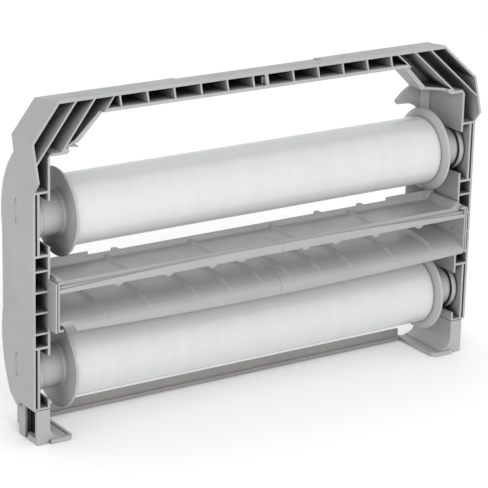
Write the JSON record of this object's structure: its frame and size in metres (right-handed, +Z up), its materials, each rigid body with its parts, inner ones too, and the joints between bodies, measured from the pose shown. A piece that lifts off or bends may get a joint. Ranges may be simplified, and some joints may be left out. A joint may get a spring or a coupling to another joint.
{
  "type": "film roll cartridge",
  "caption": "Carry-handled plastic frame holding film rolls on flanged end caps, one above the other, with ribbed shelves between them that form a feed throat.",
  "frame": {"origin": "on the ground under the middle of the cartridge's bounding box", "axes": "+X to the right along the rolls, +Y away from the side the rolls are loaded from, +Z up"},
  "size_m": [0.37, 0.064, 0.2383],
  "materials": {
    "frame_plastic": "satin light grey",
    "shelf_plastic": "satin light grey",
    "hub_plastic": "satin grey",
    "film": "glossy clear film wound white",
    "core_tube": "plain tube",
    "rail_plastic": "satin grey",
    "latch_plastic": "satin grey"
  },
  "bodies": {
    "frame": {"right_end_frame": "frame_plastic", "left_end_frame": "frame_plastic", "handle_latch": "latch_plastic", "right_foot": "frame_plastic", "left_foot": "frame_plastic", "right_shelf_bracket": "shelf_plastic", "left_shelf_bracket": "shelf_plastic", "rear_bottom_rail": "rail_plastic", "upper_tray_right": "shelf_plastic", "upper_tray_left": "shelf_plastic", "tray_seam_cleat": "shelf_plastic", "lower_guide_right": "shelf_plastic", "lower_guide_left": "shelf_plastic", "guide_seam_cleat": "shelf_plastic"},
    "upper_roll": {"upper_film_roll": "film", "upper_core_tube": "core_tube", "upper_right_end_cap": "hub_plastic", "upper_left_end_cap": "hub_plastic", "upper_right_collar": "hub_plastic", "upper_left_collar": "hub_plastic"},
    "lower_roll": {"lower_film_roll": "film", "lower_core_tube": "core_tube", "lower_right_end_cap": "hub_plastic", "lower_left_end_cap": "hub_plastic", "lower_right_collar": "hub_plastic", "lower_left_collar": "hub_plastic"}
  },
  "joints": [
    {"name": "upper_roll_spin", "type": "hinge", "parent": "frame", "child": "upper_roll", "pos_m": [0, 0.001, 0.1577], "axis": [1, 0, 0], "continuous": true},
    {"name": "lower_roll_spin", "type": "hinge", "parent": "frame", "child": "lower_roll", "pos_m": [0, 0.001, 0.0481], "axis": [1, 0, 0], "continuous": true}
  ]
}
